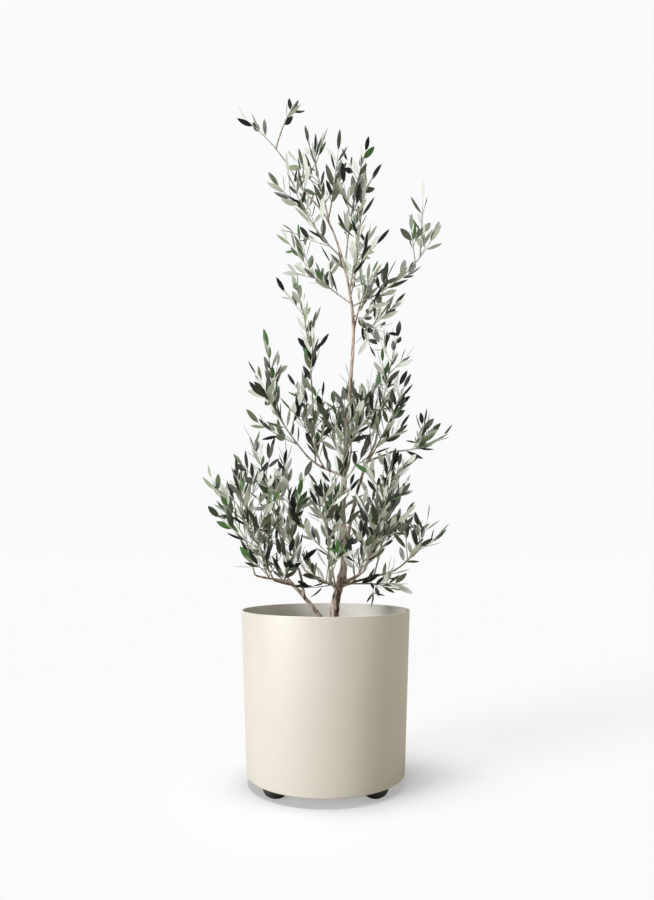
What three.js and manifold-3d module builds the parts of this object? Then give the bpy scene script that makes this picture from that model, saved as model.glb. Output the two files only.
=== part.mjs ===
// A young olive tree of two stems, grown in a round cream planter that stands on four low feet.
// Millimetres, +Z up. The origin is on the ground, on the axis of the planter.
// The plant's own group has its zero height at the top of the soil.
// Azimuths are in degrees: 0 is +X (right), 90 is +Y (back), 180 is left and 270 is the front.
import * as THREE from "three";
import Module from "manifold-3d";

const wasm = await Module();
wasm.setup();

// ---------------------------------------------------------------- driving sizes

const CLEARANCE = 0.3; // gap between pieces that touch

const POT_HEIGHT = 388;
const POT_RIM_RADIUS = 200;
const POT_BASE_RADIUS = 188.5;
const POT_WALL = 3;
const POT_FLOOR = 4;
const POT_EDGE_ROUND = 4; // rounding of the lower edge
const POT_SEGMENTS = 36;

const FOOT_HEIGHT = 22;
const FOOT_TOP_RADIUS = 30;
const FOOT_GROUND_RADIUS = 15;
const FOOT_CIRCLE_RADIUS = 156; // from the planter's axis to each foot's axis
const FOOT_COUNT = 4;
const FOOT_SEGMENTS = 10;

const SOIL_BELOW_RIM = 50;
const SOIL_LEVEL_RADIUS = 90; // inside this the soil is level, and outside it falls to the wall
const SOIL_MOUND = 6; // how much higher the soil stands round the trunk than at the wall

const LEAF_LENGTH = 78;
const LEAF_WIDTH = 22;
const LEAF_THICKNESS = 1.8;
const LEAF_WIDEST_AT = 0.48; // share of the length from the root
const LEAF_SPREAD = 44; // degrees between a leaf and its twig
const LEAF_GAP = 50; // along a twig, from one pair of leaves to the next
const LEAF_FOOT = 7; // length next to the twig where a leaf may lie close to its neighbours

const TWIG_RADIUS = 2.2; // at a mass's stem
const SHOOT_RADIUS = 1.9;
const TWIG_TIP_RADIUS = 1.2;
const STEM_STEPS = 4; // straight lengths that a mass's stem is made of
const SHOOT_NECK = 5; // length over which a side shoot swells to its full radius
const SHOOT_BARE = 0.2; // share of a side shoot below its first leaves
const GOLDEN_TURN = 137.5; // degrees from one side shoot to the next, round the stem

const SOIL_TOP = FOOT_HEIGHT + POT_HEIGHT - SOIL_BELOW_RIM;

// ---------------------------------------------------------------- small tools

const UP = new THREE.Vector3(0, 0, 1);
const radians = THREE.MathUtils.degToRad;
const lerp = THREE.MathUtils.lerp;

// Numbers from 0 to 1 that are the same on every run for one seed (mulberry32).
function seeded(seed) {
  let state = seed >>> 0;
  return () => {
    state = (state + 0x6d2b79f5) >>> 0;
    let t = state;
    t = Math.imul(t ^ (t >>> 15), t | 1);
    t ^= t + Math.imul(t ^ (t >>> 7), t | 61);
    return ((t ^ (t >>> 14)) >>> 0) / 4294967296;
  };
}

// A smooth curve through a few points, each span a uniform Catmull-Rom cubic.
class Spline extends THREE.Curve {
  constructor(points) {
    super();
    this.points = points.map((p) => new THREE.Vector3(...p));
  }

  getPoint(t) {
    const p = this.points;
    const spans = p.length - 1;
    const i = Math.min(Math.floor(t * spans), spans - 1);
    const u = t * spans - i;
    const before = i > 0 ? p[i - 1] : p[0].clone().multiplyScalar(2).sub(p[1]);
    const after = i + 2 <= spans ? p[i + 2] : p[spans].clone().multiplyScalar(2).sub(p[spans - 1]);
    const blend = (a, b, c, d) =>
      0.5 * (2 * b + (c - a) * u + (2 * a - 5 * b + 4 * c - d) * u * u + (3 * b - a - 3 * c + d) * u ** 3);
    const at = (axis) => blend(before[axis], p[i][axis], p[i + 1][axis], after[axis]);
    return new THREE.Vector3(at("x"), at("y"), at("z"));
  }
}

// The way a shoot grows: outwards by reach along azimuth while it climbs by rise.
// arch 1 starts level and ends upright, 0 is straight, and -1 starts upright and ends level.
function growth(start, { azimuth, reach, rise, arch = 0 }) {
  const out = new THREE.Vector3(Math.cos(radians(azimuth)), Math.sin(radians(azimuth)), 0);
  const step = (along, up) =>
    start.clone().addScaledVector(out, reach * along).addScaledVector(UP, rise * up);
  return new THREE.QuadraticBezierCurve3(start.clone(), step(0.5 + arch / 2, 0.5 - arch / 2), step(1, 1));
}

// A closed mesh from points and triangles, as a solid.
function solidFrom(points, triangles) {
  const vertProperties = new Float32Array(points.flatMap((p) => [p.x, p.y, p.z]));
  const triVerts = new Uint32Array(triangles);
  return new wasm.Manifold(new wasm.Mesh({ numProp: 3, vertProperties, triVerts }));
}

// A round limb along a path: radiusAt gives its radius at each share of the path, and swell is
// added to the radius and to the far end.
function limbSolid(path, radiusAt, sides, steps, swell = 0) {
  const points = [];
  const triangles = [];
  let normal = new THREE.Vector3(0.3, 1, 0.1);
  for (let i = 0; i <= steps; i++) {
    const t = i / steps;
    const tangent = path.getTangent(t);
    normal = normal.clone().addScaledVector(tangent, -normal.dot(tangent)).normalize();
    const side = tangent.clone().cross(normal);
    for (let k = 0; k < sides; k++) {
      const turn = (2 * Math.PI * k) / sides;
      const radius = radiusAt(t, turn) + swell;
      points.push(
        path
          .getPoint(t)
          .addScaledVector(tangent, i === steps ? swell : 0)
          .addScaledVector(normal, radius * Math.cos(turn))
          .addScaledVector(side, radius * Math.sin(turn)),
      );
    }
  }
  for (let i = 0; i < steps; i++)
    for (let k = 0; k < sides; k++) {
      const a = i * sides + k;
      const b = i * sides + ((k + 1) % sides);
      triangles.push(a, b, b + sides, a, b + sides, a + sides);
    }
  const last = steps * sides;
  for (let k = 1; k < sides - 1; k++) triangles.push(0, k + 1, k, last, last + k, last + k + 1);
  return solidFrom(points, triangles);
}

// A straight three-sided shoot, pointed where it is sunk in its stem.
function shootSolid(path, radius, tipRadius) {
  const base = path.getPoint(0);
  const along = path.getTangent(0);
  const normal = new THREE.Vector3(0.3, 1, 0.1).cross(along).normalize();
  const ring = (centre, size) =>
    [0, 120, 240].map((turn) =>
      centre.clone().addScaledVector(normal.clone().applyAxisAngle(along, radians(turn)), size),
    );
  const neck = base.clone().addScaledVector(along, SHOOT_NECK);
  const points = [base, ...ring(neck, radius), ...ring(path.getPoint(1), tipRadius)];
  const triangles = [4, 5, 6];
  for (const [a, b] of [[1, 2], [2, 3], [3, 1]]) triangles.push(0, b, a, a, b, b + 3, a, b + 3, a + 3);
  return solidFrom(points, triangles);
}

// One leaf: a flat blade pointed at both ends. Its upper faces meet along its length and its
// lower faces meet across it, so four faces give it its outline and its thickness.
// foot leaves out the length nearest the twig.
function leafSolid({ root, along, across, length, width }, foot = 0) {
  const face = along.clone().cross(across).normalize();
  const middle = root.clone().addScaledVector(along, length * LEAF_WIDEST_AT);
  middle.addScaledVector(face, -LEAF_THICKNESS);
  const points = [
    root.clone().addScaledVector(along, foot),
    root.clone().addScaledVector(along, length),
    middle.clone().addScaledVector(across, width / 2),
    middle.clone().addScaledVector(across, -width / 2),
  ];
  return solidFrom(points, [0, 1, 2, 0, 3, 1, 0, 2, 3, 1, 3, 2]);
}

// A solid with its bounding box, as something that later growth keeps clear of.
const obstacle = (solid) => ({ solid, box: solid.boundingBox() });

// Whether a solid touches none of the obstacles. Boxes that lie apart are ruled out first.
function isClear(solid, obstacles) {
  const box = solid.boundingBox();
  const apart = (other) => [0, 1, 2].some((i) => other.min[i] > box.max[i] || other.max[i] < box.min[i]);
  return obstacles.every((other) => apart(other.box) || solid.intersect(other.solid).isEmpty());
}

// The largest piece of a solid, with any scrap dropped and any sealed hollow filled.
function mainPiece(solid) {
  const pieces = solid.decompose();
  return pieces.reduce((best, piece) => (piece.volume() > best.volume() ? piece : best));
}

function meshFrom(name, solid, material) {
  const { vertProperties, numProp, numVert, triVerts } = solid.getMesh();
  const position = new Float32Array(numVert * 3);
  for (let i = 0; i < numVert; i++) {
    position.set(vertProperties.subarray(i * numProp, i * numProp + 3), i * 3);
  }
  const geometry = new THREE.BufferGeometry();
  geometry.setAttribute("position", new THREE.BufferAttribute(position, 3));
  geometry.setIndex(new THREE.BufferAttribute(triVerts, 1));
  geometry.computeVertexNormals();
  return named(name, geometry, material);
}

function named(name, geometry, material) {
  const mesh = new THREE.Mesh(geometry, material);
  mesh.name = name;
  return mesh;
}

// A turned shape: profile is [radius, height] pairs, and the axis becomes +Z.
function turned(profile, segments) {
  const points = profile.map(([radius, height]) => new THREE.Vector2(radius, height));
  return new THREE.LatheGeometry(points, segments).rotateX(Math.PI / 2);
}

// ---------------------------------------------------------------- materials

const finish = (color, roughness) => new THREE.MeshStandardMaterial({ color, roughness, metalness: 0 });
const POT_CREAM = finish(0xe6e1d2, 0.55);
const FOOT_BLACK = finish(0x1c1d1d, 0.6);
const SOIL_BROWN = finish(0x3d2f25, 0.95);
const BARK = finish(0x8d7a66, 0.85);
const OLIVE_LEAF = finish(0x7f8f78, 0.6);

// ---------------------------------------------------------------- planter, feet and soil

// Outer radius of the planter's slightly tapered wall, at a height above its underside.
const wallRadius = (height) => lerp(POT_BASE_RADIUS, POT_RIM_RADIUS, height / POT_HEIGHT);

function makePlanter() {
  const inner = (height) => wallRadius(height) - POT_WALL;
  const edge = [0, 45, 90].map((degrees) => [
    POT_BASE_RADIUS - POT_EDGE_ROUND * (1 - Math.sin(radians(degrees))),
    POT_EDGE_ROUND * (1 - Math.cos(radians(degrees))),
  ]);
  const rim = [
    [POT_RIM_RADIUS, POT_HEIGHT],
    [inner(POT_HEIGHT), POT_HEIGHT],
  ];
  const profile = [[0, 0], ...edge, ...rim, [inner(POT_FLOOR), POT_FLOOR], [0, POT_FLOOR]];
  const planter = named("planter", turned(profile, POT_SEGMENTS), POT_CREAM);
  planter.position.z = FOOT_HEIGHT;
  return planter;
}

function makeFoot(index) {
  const profile = [
    [0, 0],
    [FOOT_GROUND_RADIUS, 0],
    [lerp(FOOT_GROUND_RADIUS, FOOT_TOP_RADIUS, 0.65), FOOT_HEIGHT * 0.3],
    [FOOT_TOP_RADIUS, FOOT_HEIGHT * 0.75],
    [FOOT_TOP_RADIUS, FOOT_HEIGHT - CLEARANCE],
    [0, FOOT_HEIGHT - CLEARANCE],
  ];
  const foot = named(`foot_${index + 1}`, turned(profile, FOOT_SEGMENTS), FOOT_BLACK);
  const turn = radians(45 + (360 / FOOT_COUNT) * index);
  foot.position.set(FOOT_CIRCLE_RADIUS * Math.cos(turn), FOOT_CIRCLE_RADIUS * Math.sin(turn), 0);
  return foot;
}

function makeSoil() {
  const lowest = POT_FLOOR + CLEARANCE;
  const top = POT_HEIGHT - SOIL_BELOW_RIM;
  const radius = (height) => wallRadius(height) - POT_WALL - CLEARANCE - 0.5;
  const profile = [
    [0, lowest],
    [radius(lowest), lowest],
    [radius(top - SOIL_MOUND), top - SOIL_MOUND],
    [SOIL_LEVEL_RADIUS, top - CLEARANCE],
    [0, top - CLEARANCE],
  ];
  const soil = named("soil", turned(profile, POT_SEGMENTS), SOIL_BROWN);
  soil.position.z = FOOT_HEIGHT;
  return soil;
}

// ---------------------------------------------------------------- trunk and boughs

// The trunk leans right as it climbs, and its leader swings back to the left. It starts a little
// below the soil and is cut off flat there.
const TRUNK_PATH = new Spline([
  [12, 0, -12],
  [25, -2, 75],
  [44, 2, 160],
  [41, 8, 290],
  [48, 4, 430],
  [59, -2, 590],
  [66, 0, 735],
  [45, 4, 870],
  [4, 2, 985],
  [-61, -2, 1062],
]);
const TRUNK_RADII = [13, 11.5, 9.5, 7.5, 5.8, 4.6, 4, 3.2, 2.4, 1.9];
const ROOT_FLARE = 5; // added to the radius at the soil
const KNOT = 0.07; // share by which the bark's knots swell the trunk
const TRUNK_SIDES = 8;
const TRUNK_STEPS = 20;
const LIMB_SIDES = 5;
const LIMB_STEPS = 4;

function trunkRadius(t, turn) {
  const place = t * (TRUNK_RADII.length - 1);
  const i = Math.min(Math.floor(place), TRUNK_RADII.length - 2);
  const plain = lerp(TRUNK_RADII[i], TRUNK_RADII[i + 1], place - i);
  const flare = ROOT_FLARE * Math.exp(-t * 45) * (1 + 0.35 * Math.cos(3 * turn));
  const knots = 1 + KNOT * Math.sin(61 * t + 2 * turn);
  return plain * knots + flare;
}

// Second stems and boughs, each after the limb it grows from. at is the share of the parent's path
// where the bough leaves it.
const BOUGHS = [
  {
    name: "stem_left", parent: "trunk", at: 0.012,
    azimuth: 186, reach: 103, rise: 124, arch: -0.06, radii: [7, 4.2],
  },
  {
    name: "bough_left_inner", parent: "stem_left", at: 0.66,
    azimuth: 150, reach: 26, rise: 80, arch: -0.6, radii: [4.2, 2.8],
  },
  {
    name: "bough_left_low", parent: "stem_left", at: 0.97,
    azimuth: 186, reach: 82, rise: 14, arch: 0.3, radii: [3.6, 2.6],
  },
  {
    name: "bough_left_front", parent: "stem_left", at: 0.9,
    azimuth: 236, reach: 72, rise: 12, arch: 0.2, radii: [3.6, 2.6],
  },
  {
    name: "bough_right_low", parent: "trunk", at: 0.15,
    azimuth: 357, reach: 118, rise: 34, arch: -0.1, radii: [5.2, 2.6],
  },
  {
    name: "bough_right_inner", parent: "trunk", at: 0.16,
    azimuth: 335, reach: 62, rise: 34, arch: 0.3, radii: [4.6, 2.6],
  },
  {
    name: "stem_right", parent: "trunk", at: 0.22,
    azimuth: 8, reach: 76, rise: 290, arch: -0.35, radii: [6, 3.2],
  },
  {
    name: "bough_back_low", parent: "trunk", at: 0.13,
    azimuth: 100, reach: 108, rise: 34, arch: 0.1, radii: [5, 2.6],
  },
  {
    name: "bough_back_right", parent: "trunk", at: 0.155,
    azimuth: 50, reach: 100, rise: 36, arch: 0.2, radii: [4.6, 2.6],
  },
  {
    name: "bough_front_low", parent: "trunk", at: 0.14,
    azimuth: 264, reach: 94, rise: 22, arch: 0.2, radii: [4.6, 2.6],
  },
  {
    name: "bough_front_right", parent: "trunk", at: 0.165,
    azimuth: 305, reach: 92, rise: 30, arch: 0.2, radii: [4.4, 2.6],
  },
  {
    name: "bough_back_left", parent: "trunk", at: 0.15,
    azimuth: 140, reach: 108, rise: 36, arch: 0.2, radii: [4.6, 2.6],
  },
  {
    name: "bough_left_high", parent: "trunk", at: 0.4,
    azimuth: 188, reach: 88, rise: 42, arch: 0.35, radii: [4.4, 2.6],
  },
  {
    name: "bough_right_high", parent: "stem_right", at: 0.8,
    azimuth: 350, reach: 62, rise: 22, arch: 0.1, radii: [3.2, 2.6],
  },
  {
    name: "bough_back_high", parent: "trunk", at: 0.4,
    azimuth: 75, reach: 74, rise: 66, arch: 0.2, radii: [4, 2.6],
  },
];

// Makes every limb, each cut clear of the limbs before it. swollen is the limb with the clearance added.
function makeLimbs() {
  const limbs = new Map();
  const trunkSolid = (swell) =>
    limbSolid(TRUNK_PATH, trunkRadius, TRUNK_SIDES, TRUNK_STEPS, swell).trimByPlane([0, 0, 1], 0);
  limbs.set("trunk", { path: TRUNK_PATH, solid: trunkSolid(0), swollen: trunkSolid(CLEARANCE) });
  for (const bough of BOUGHS) {
    const parent = limbs.get(bough.parent);
    const path = growth(parent.path.getPoint(bough.at), bough);
    const radiusAt = (t) => lerp(bough.radii[0], bough.radii[1], Math.sqrt(t));
    const boughSolid = (swell) => limbSolid(path, radiusAt, LIMB_SIDES, LIMB_STEPS, swell);
    let solid = boughSolid(0);
    for (const other of limbs.values()) solid = solid.subtract(other.swollen);
    limbs.set(bough.name, { path, solid: mainPiece(solid), swollen: boughSolid(CLEARANCE) });
  }
  return limbs;
}

// ---------------------------------------------------------------- masses of foliage

// Each mass has one stem, which goes on from a bough's tip (at 1) or leaves the side of a limb.
// fork is a second stem. shoots and shootLength give the side shoots that the rule adds,
// bare is the share of a stem below its first leaves, and nothing in a mass lies further than room
// from its stem or its fork.
const MASSES = [
  {
    name: "leaves_leader", parent: "trunk", at: 1,
    azimuth: 180, reach: 106, rise: 140, arch: -0.2,
    bare: 0.66, shoots: 0, shootLength: 50, room: 74,
    fork: { at: 0.6, azimuth: 8, reach: 36, rise: 95, arch: -0.2, bare: 0.4 },
  },
  {
    name: "leaves_top", parent: "trunk", at: 0.88,
    azimuth: 146, reach: 54, rise: 190, arch: -0.1,
    bare: 0.16, shoots: 3, shootLength: 80, room: 80,
    fork: { at: 0.05, azimuth: 340, reach: 22, rise: 130, arch: 0.2, bare: 0.2 },
  },
  {
    name: "leaves_top_right", parent: "trunk", at: 0.775,
    azimuth: 326, reach: 48, rise: 238, arch: -0.3,
    bare: 0.12, shoots: 4, shootLength: 78, room: 80,
  },
  {
    name: "leaves_upper_left", parent: "trunk", at: 0.8,
    azimuth: 202, reach: 122, rise: 146, arch: 0.3,
    bare: 0.12, shoots: 5, shootLength: 94, room: 84,
  },
  {
    name: "leaves_upper_left_low", parent: "trunk", at: 0.705,
    azimuth: 150, reach: 168, rise: 172, arch: 0.15,
    bare: 0.12, shoots: 5, shootLength: 70, room: 80,
  },
  {
    name: "leaves_upper_right", parent: "trunk", at: 0.7,
    azimuth: 356, reach: 182, rise: 140, arch: 0.35,
    bare: 0.1, shoots: 3, shootLength: 50, room: 74,
    fork: { at: 0.85, azimuth: 10, reach: 6, rise: 108, arch: 0.2, bare: 0.1 },
  },
  {
    name: "leaves_upper_front", parent: "trunk", at: 0.73,
    azimuth: 284, reach: 112, rise: 165, arch: 0.2,
    bare: 0.12, shoots: 3, shootLength: 80, room: 84,
  },
  {
    name: "leaves_upper_back", parent: "trunk", at: 0.72,
    azimuth: 78, reach: 126, rise: 180, arch: 0.2,
    bare: 0.14, shoots: 4, shootLength: 90, room: 88,
  },
  {
    name: "leaves_right_droop", parent: "trunk", at: 0.686,
    azimuth: 345, reach: 60, rise: -44, arch: -0.2,
    bare: 0.1, shoots: 4, shootLength: 58, room: 74,
    fork: { at: 0.8, azimuth: 10, reach: 26, rise: 78, arch: 0.5, bare: 0.1 },
  },
  {
    name: "leaves_left_spire", parent: "bough_left_high", at: 0.72,
    azimuth: 140, reach: 52, rise: 412, arch: -0.5,
    bare: 0.08, shoots: 4, shootLength: 56, room: 80,
  },
  {
    name: "leaves_left_wing", parent: "bough_left_high", at: 1,
    azimuth: 210, reach: 120, rise: 154, arch: 0.15,
    bare: 0.12, shoots: 5, shootLength: 80, room: 80,
    fork: { at: 0.5, azimuth: 176, reach: 34, rise: 150, arch: 0.3, bare: 0.15 },
  },
  {
    name: "leaves_left_upper", parent: "bough_left_high", at: 0.45,
    azimuth: 215, reach: 62, rise: 110, arch: 0.2,
    bare: 0.12, shoots: 6, shootLength: 84, room: 88,
  },
  {
    name: "leaves_middle_left", parent: "trunk", at: 0.42,
    azimuth: 136, reach: 84, rise: 150, arch: 0.1,
    bare: 0.15, shoots: 6, shootLength: 85, room: 88,
  },
  {
    name: "leaves_middle", parent: "trunk", at: 0.36,
    azimuth: 270, reach: 110, rise: 175, arch: 0.1,
    bare: 0.15, shoots: 6, shootLength: 90, room: 90,
  },
  {
    name: "leaves_middle_back", parent: "bough_back_high", at: 1,
    azimuth: 88, reach: 92, rise: 170, arch: 0.2,
    bare: 0.1, shoots: 5, shootLength: 100, room: 92,
  },
  {
    name: "leaves_middle_right", parent: "trunk", at: 0.44,
    azimuth: 48, reach: 88, rise: 165, arch: 0.2,
    bare: 0.15, shoots: 5, shootLength: 80, room: 84,
  },
  {
    name: "leaves_right_spire", parent: "stem_right", at: 1,
    azimuth: 25, reach: 56, rise: 240, arch: -0.1,
    bare: 0.08, shoots: 6, shootLength: 75, room: 78,
  },
  {
    name: "leaves_right_wing", parent: "stem_right", at: 0.74,
    azimuth: 326, reach: 92, rise: 150, arch: 0.1,
    bare: 0.12, shoots: 6, shootLength: 80, room: 80,
  },
  {
    name: "leaves_right_hook", parent: "bough_right_high", at: 1,
    azimuth: 356, reach: 82, rise: 34, arch: 0.9,
    bare: 0.08, shoots: 5, shootLength: 72, room: 78,
  },
  {
    name: "leaves_right_inner", parent: "bough_right_inner", at: 1,
    azimuth: 350, reach: 62, rise: 230, arch: 0.1,
    bare: 0.08, shoots: 6, shootLength: 92, room: 88,
  },
  {
    name: "leaves_right_outer", parent: "bough_right_low", at: 1,
    azimuth: 4, reach: 86, rise: 100, arch: 0.5,
    bare: 0.42, shoots: 4, shootLength: 74, room: 84,
  },
  {
    name: "leaves_right_middle", parent: "bough_right_low", at: 0.72,
    azimuth: 20, reach: 60, rise: 240, arch: 0.1,
    bare: 0.28, shoots: 7, shootLength: 90, room: 88,
  },
  {
    name: "leaves_right_foot", parent: "bough_right_low", at: 0.22,
    azimuth: 332, reach: 118, rise: 2, arch: 0.1,
    bare: 0.12, shoots: 4, shootLength: 52, room: 72,
  },
  {
    name: "leaves_front_right", parent: "bough_front_right", at: 1,
    azimuth: 305, reach: 80, rise: 200, arch: 0.2,
    bare: 0.08, shoots: 6, shootLength: 95, room: 92,
  },
  {
    name: "leaves_front", parent: "bough_front_low", at: 1,
    azimuth: 258, reach: 108, rise: 175, arch: 0.2,
    bare: 0.08, shoots: 7, shootLength: 95, room: 92,
  },
  {
    name: "leaves_back_right", parent: "bough_back_right", at: 1,
    azimuth: 48, reach: 100, rise: 205, arch: 0.3,
    bare: 0.08, shoots: 4, shootLength: 100, room: 96,
  },
  {
    name: "leaves_back", parent: "bough_back_low", at: 1,
    azimuth: 94, reach: 100, rise: 205, arch: 0.3,
    bare: 0.08, shoots: 5, shootLength: 100, room: 96,
  },
  {
    name: "leaves_back_left", parent: "bough_back_left", at: 1,
    azimuth: 136, reach: 112, rise: 200, arch: 0.3,
    bare: 0.08, shoots: 5, shootLength: 100, room: 96,
  },
  {
    name: "leaves_left_inner", parent: "bough_left_inner", at: 1,
    azimuth: 150, reach: 22, rise: 235, arch: 0,
    bare: 0.08, shoots: 7, shootLength: 92, room: 88,
  },
  {
    name: "leaves_left_middle", parent: "stem_left", at: 1,
    azimuth: 152, reach: 92, rise: 310, arch: -0.2,
    bare: 0.1, shoots: 8, shootLength: 95, room: 90,
  },
  {
    name: "leaves_left_front", parent: "bough_left_front", at: 1,
    azimuth: 222, reach: 92, rise: 200, arch: 0.2,
    bare: 0.08, shoots: 7, shootLength: 95, room: 92,
  },
  {
    name: "leaves_left_outer", parent: "bough_left_low", at: 1,
    azimuth: 182, reach: 40, rise: 212, arch: 0.25,
    bare: 0.08, shoots: 6, shootLength: 66, room: 92,
    fork: { at: 0.68, azimuth: 184, reach: 62, rise: 72, arch: 0.3, bare: 0.35 },
  },
  {
    name: "leaves_left_low", parent: "bough_left_low", at: 0.5,
    azimuth: 262, reach: 62, rise: 34, arch: 0.3,
    bare: 0.1, shoots: 6, shootLength: 66, room: 76,
  },
  {
    name: "leaves_left_foot", parent: "bough_left_front", at: 0.5,
    azimuth: 285, reach: 62, rise: 46, arch: 0.3,
    bare: 0.1, shoots: 4, shootLength: 66, room: 76,
  },
  {
    name: "leaves_right_low", parent: "bough_right_low", at: 0.28,
    azimuth: 290, reach: 66, rise: 50, arch: 0.3,
    bare: 0.1, shoots: 5, shootLength: 66, room: 76,
  },
  {
    name: "leaves_front_low", parent: "bough_front_low", at: 0.5,
    azimuth: 222, reach: 70, rise: 28, arch: 0.2,
    bare: 0.1, shoots: 4, shootLength: 62, room: 76,
  },
  {
    name: "leaves_front_middle", parent: "trunk", at: 0.27,
    azimuth: 246, reach: 84, rise: 150, arch: 0.2,
    bare: 0.12, shoots: 4, shootLength: 80, room: 84,
  },
  {
    name: "leaves_upper_inner", parent: "trunk", at: 0.648,
    azimuth: 35, reach: 44, rise: 132, arch: -0.2,
    bare: 0.12, shoots: 2, shootLength: 56, room: 70,
  },
];

// A side shoot: it leaves its stem half outwards, half onwards, and a little up towards the light.
function sideShoot(stem, at, around, length) {
  const base = pointOn(stem, at);
  const tangent = stem.path.getTangent(at);
  const level = new THREE.Vector3(0.2, 1, 0.1).cross(tangent).normalize();
  const radial = level.applyAxisAngle(tangent, around);
  const heading = tangent.multiplyScalar(0.55).addScaledVector(radial, 0.8);
  heading.addScaledVector(UP, 0.55).normalize();
  return new THREE.LineCurve3(base, base.clone().addScaledVector(heading, length));
}

// A point on the straight lengths that a twig is made of.
function pointOn({ path, steps }, t) {
  const i = Math.min(Math.floor(t * steps), steps - 1);
  return path.getPoint(i / steps).lerp(path.getPoint((i + 1) / steps), t * steps - i);
}

function pathLength(path) {
  return path.getPoint(0).distanceTo(path.getPoint(0.5)) + path.getPoint(0.5).distanceTo(path.getPoint(1));
}

// How near a point is to the nearest of a mass's stems.
function distanceTo(stems, point) {
  const shares = [0, 0.125, 0.25, 0.375, 0.5, 0.625, 0.75, 0.875, 1];
  return Math.min(...stems.flatMap((stem) => shares.map((t) => stem.path.getPoint(t).distanceTo(point))));
}

// The pairs of leaves on one twig, each pair a quarter turn from the last, and one leaf at the tip.
function leavesOn(twig, random) {
  const leaves = [];
  const phase = random() * 2 * Math.PI;
  const length = pathLength(twig.path);
  const pairs = Math.max(1, Math.round((length * (1 - twig.bareTo)) / LEAF_GAP));
  for (let pair = 0; pair <= pairs; pair++) {
    const t = lerp(twig.bareTo, 1, (pair + 0.6) / (pairs + 0.6));
    const atTip = pair === pairs;
    const tangent = twig.path.getTangent(Math.min(t, 1));
    const side = new THREE.Vector3(0.2, 1, 0.1).cross(tangent).normalize();
    for (let k = 0; k < (atTip ? 1 : 2); k++) {
      const around = radians(90 * pair + 180 * k + 36 * (random() - 0.5)) + phase;
      const radial = side.clone().applyAxisAngle(tangent, around);
      const spread = radians(atTip ? 8 : LEAF_SPREAD + 18 * (random() - 0.5));
      const along = tangent.clone().multiplyScalar(Math.cos(spread));
      along.addScaledVector(radial, Math.sin(spread)).addScaledVector(UP, 0.25).normalize();
      const across = tangent.clone().cross(radial);
      across.addScaledVector(along, -across.dot(along)).normalize();
      across.applyAxisAngle(along, radians(70 * (random() - 0.5)));
      const size = (atTip ? 0.8 : 1 - 0.22 * t) * (0.86 + 0.24 * random());
      leaves.push({
        root: pointOn(twig, Math.min(t, 0.985)),
        along,
        across,
        length: LEAF_LENGTH * size,
        width: LEAF_WIDTH * (0.5 + 0.5 * size),
      });
    }
  }
  return leaves;
}

// The stem of a mass and its fork, if it has one. They are there before any side shoot or leaf.
function makeStems(mass, limbs) {
  const stem = growth(limbs.get(mass.parent).path.getPoint(mass.at), mass);
  const { fork } = mass;
  const grown = [{ path: stem, bareTo: mass.bare }];
  if (fork) grown.push({ path: growth(stem.getPoint(fork.at), fork), bareTo: fork.bare });
  return grown.map(({ path, bareTo }) => ({
    path,
    bareTo,
    steps: STEM_STEPS,
    solid: limbSolid(path, (t) => lerp(TWIG_RADIUS, TWIG_TIP_RADIUS, t), 3, STEM_STEPS),
  }));
}

// The side shoots of a mass that stay in its room and touch none of the obstacles.
function makeShoots(mass, index, stems, obstacles, random) {
  const shoots = [];
  for (let k = 0; k < mass.shoots; k++) {
    const at = lerp(0.12, 0.9, (k + 0.5) / mass.shoots);
    const length = mass.shootLength * (1.15 - 0.5 * at) * (0.85 + 0.3 * random());
    const path = sideShoot(stems[0], at, radians(GOLDEN_TURN * k) + index, length);
    const solid = shootSolid(path, SHOOT_RADIUS, TWIG_TIP_RADIUS);
    const inRoom = distanceTo(stems, path.getPoint(1)) < mass.room;
    if (inRoom && isClear(solid, obstacles)) shoots.push({ path, solid, bareTo: SHOOT_BARE, steps: 1 });
  }
  return shoots;
}

// Grows one mass from its stems and gives its solid, which keeps clear of the obstacles.
function growMass(mass, index, stems, obstacles, limbs) {
  const random = seeded(1000 + 77 * index);
  const twigs = [...stems, ...makeShoots(mass, index, stems, obstacles, random)];
  const grown = twigs.map((twig) => obstacle(twig.solid));
  for (const twig of twigs) {
    const own = grown.filter((part) => part.solid !== twig.solid);
    for (const leaf of leavesOn(twig, random)) {
      const tip = leaf.root.clone().addScaledVector(leaf.along, leaf.length);
      const solid = leafSolid(leaf);
      if (distanceTo(stems, tip) > mass.room || !isClear(solid, obstacles)) continue;
      if (!isClear(leafSolid(leaf, LEAF_FOOT), own)) continue;
      grown.push(obstacle(solid));
      own.push(obstacle(solid));
    }
  }
  let whole = grown.map((part) => part.solid).reduce((sum, part) => sum.add(part));
  for (const limb of limbs.values()) whole = whole.subtract(limb.swollen);
  return mainPiece(whole);
}

// ---------------------------------------------------------------- the whole plant

const pottedOlive = new THREE.Group();
pottedOlive.name = "potted_olive_tree";
pottedOlive.add(makePlanter(), makeSoil());
for (let index = 0; index < FOOT_COUNT; index++) pottedOlive.add(makeFoot(index));

const plant = new THREE.Group();
plant.position.z = SOIL_TOP;
pottedOlive.add(plant);

const limbs = makeLimbs();
for (const [name, limb] of limbs) plant.add(meshFrom(name, limb.solid, BARK));

const swollenLimbs = [...limbs.values()].map((limb) => obstacle(limb.swollen));
const stems = MASSES.map((mass) => makeStems(mass, limbs));
const masses = [];
MASSES.forEach((mass, index) => {
  const otherStems = stems.filter((_, i) => i !== index).flat();
  const obstacles = [...swollenLimbs, ...otherStems.map((stem) => obstacle(stem.solid)), ...masses];
  const solid = growMass(mass, index, stems[index], obstacles, limbs);
  masses.push(obstacle(solid));
  plant.add(meshFrom(mass.name, solid, OLIVE_LEAF));
});

export default pottedOlive;
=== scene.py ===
import math

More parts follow.
